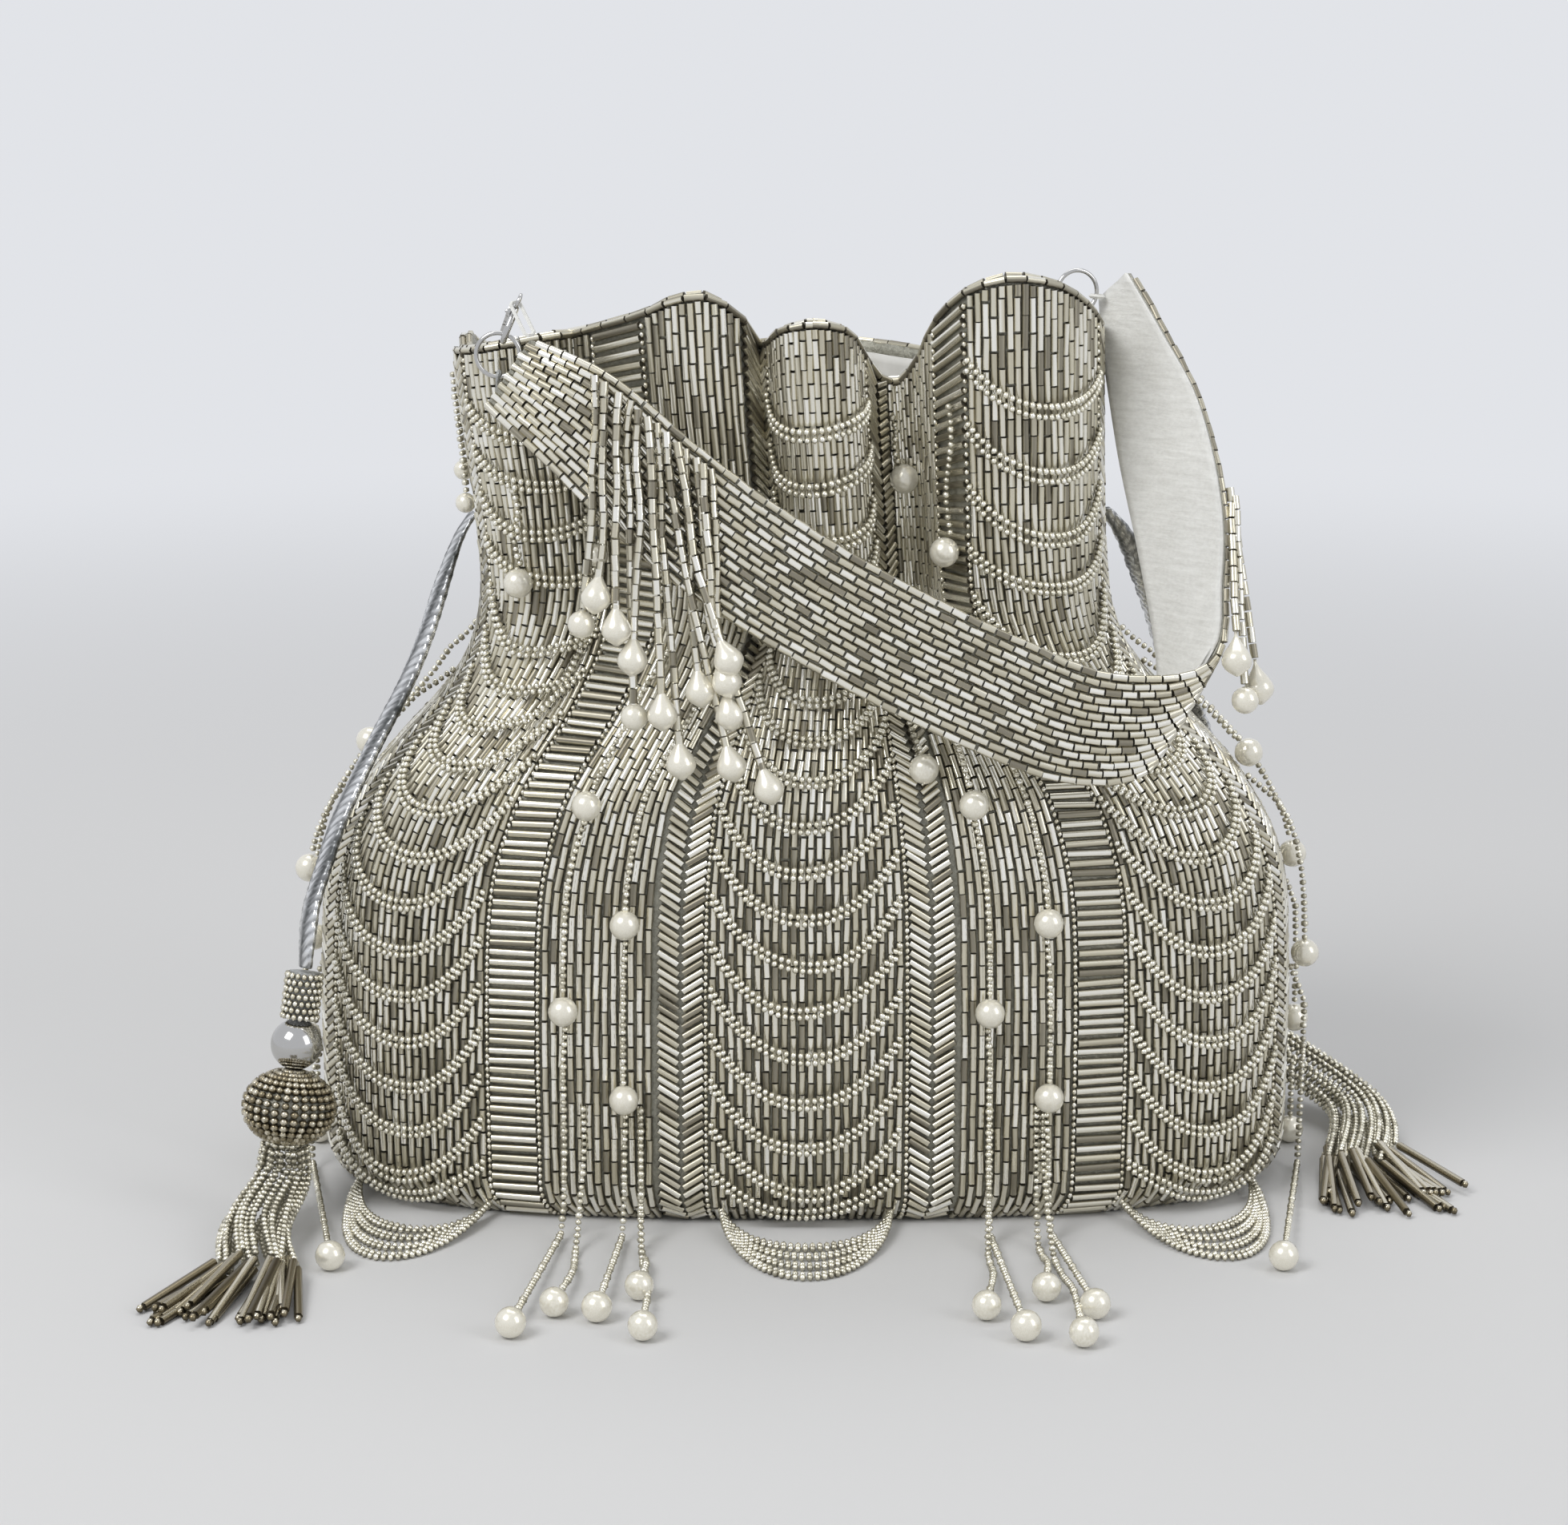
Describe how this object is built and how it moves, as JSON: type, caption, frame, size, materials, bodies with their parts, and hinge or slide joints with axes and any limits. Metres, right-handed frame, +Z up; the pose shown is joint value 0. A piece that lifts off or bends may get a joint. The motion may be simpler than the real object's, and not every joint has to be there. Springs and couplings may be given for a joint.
{
  "type": "potli bag",
  "caption": "Gathered drawstring potli pouch covered in bead embroidery, with a beaded shoulder strap, hanging bead strands and two tassels, standing on its flat base.",
  "frame": {"origin": "centre of the flat base, on the floor the bag stands on", "axes": "+Z up, -Y towards the front with the strap across it, +X towards the right of someone who looks at the front"},
  "size_m": [0.351, 0.2877, 0.2549],
  "materials": {
    "glass_beads": "silver-lined glass tube and seed beads, packed close, with a warm champagne grey cast",
    "satin_lining": "ivory satin",
    "pearl": "ivory pearl lacquer on round and drop beads",
    "strap_silk": "off-white raw silk with slubs",
    "chrome": "polished nickel plate",
    "silver_tape": "flat braid of metallic grey thread"
  },
  "bodies": {
    "bag": {"outer_shell": "glass_beads", "satin_lining": "satin_lining", "neck_drawcord": "silver_tape", "pearl_strand_front_left_a": "pearl", "pearl_strand_front_left_b": "pearl", "pearl_strand_front_right_a": "pearl", "pearl_strand_front_right_b": "pearl", "pearl_strand_back_left_a": "pearl", "pearl_strand_back_left_b": "pearl", "pearl_strand_back_right_a": "pearl", "pearl_strand_back_right_b": "pearl", "pearl_strand_side_left_a": "pearl", "pearl_strand_side_left_b": "pearl", "pearl_strand_side_right_a": "pearl", "pearl_strand_side_right_b": "pearl", "swag_tail_front_centre": "glass_beads", "swag_tail_front_left": "glass_beads", "swag_tail_front_right": "glass_beads", "swag_tail_back_centre": "glass_beads", "swag_tail_back_left": "glass_beads", "swag_tail_back_right": "glass_beads", "strap_beaded_band": "glass_beads", "strap_silk_lining": "strap_silk", "fringe_front_1": "pearl", "fringe_front_2": "pearl", "fringe_front_3": "pearl", "fringe_front_4": "pearl", "fringe_front_5": "pearl", "fringe_side_1": "pearl", "ring_left": "chrome", "ring_right": "chrome", "clasp_body": "chrome", "strap_tab_left": "strap_silk", "strap_tab_right": "strap_silk", "ring_tab_left": "silver_tape", "ring_tab_right": "silver_tape", "drawstring_left": "silver_tape", "bead_wrap_left": "glass_beads", "metal_ball_left": "chrome", "beaded_ball_left": "glass_beads", "tassel_skirt_left": "glass_beads", "tassel_bugles_left": "glass_beads", "drawstring_right": "silver_tape", "bead_wrap_right": "glass_beads", "metal_ball_right": "chrome", "beaded_ball_right": "glass_beads", "tassel_skirt_right": "glass_beads", "tassel_bugles_right": "glass_beads"},
    "clasp_lever": {"clasp_trigger": "chrome"}
  },
  "joints": [
    {"name": "clasp_lever_hinge", "type": "hinge", "parent": "bag", "child": "clasp_lever", "pos_m": [-0.07619, -0.04145, 0.24466], "axis": [-0.9272, 0, 0.3746], "range_deg": [0, 15], "stiffness_Nm_per_rad": 0.002}
  ]
}
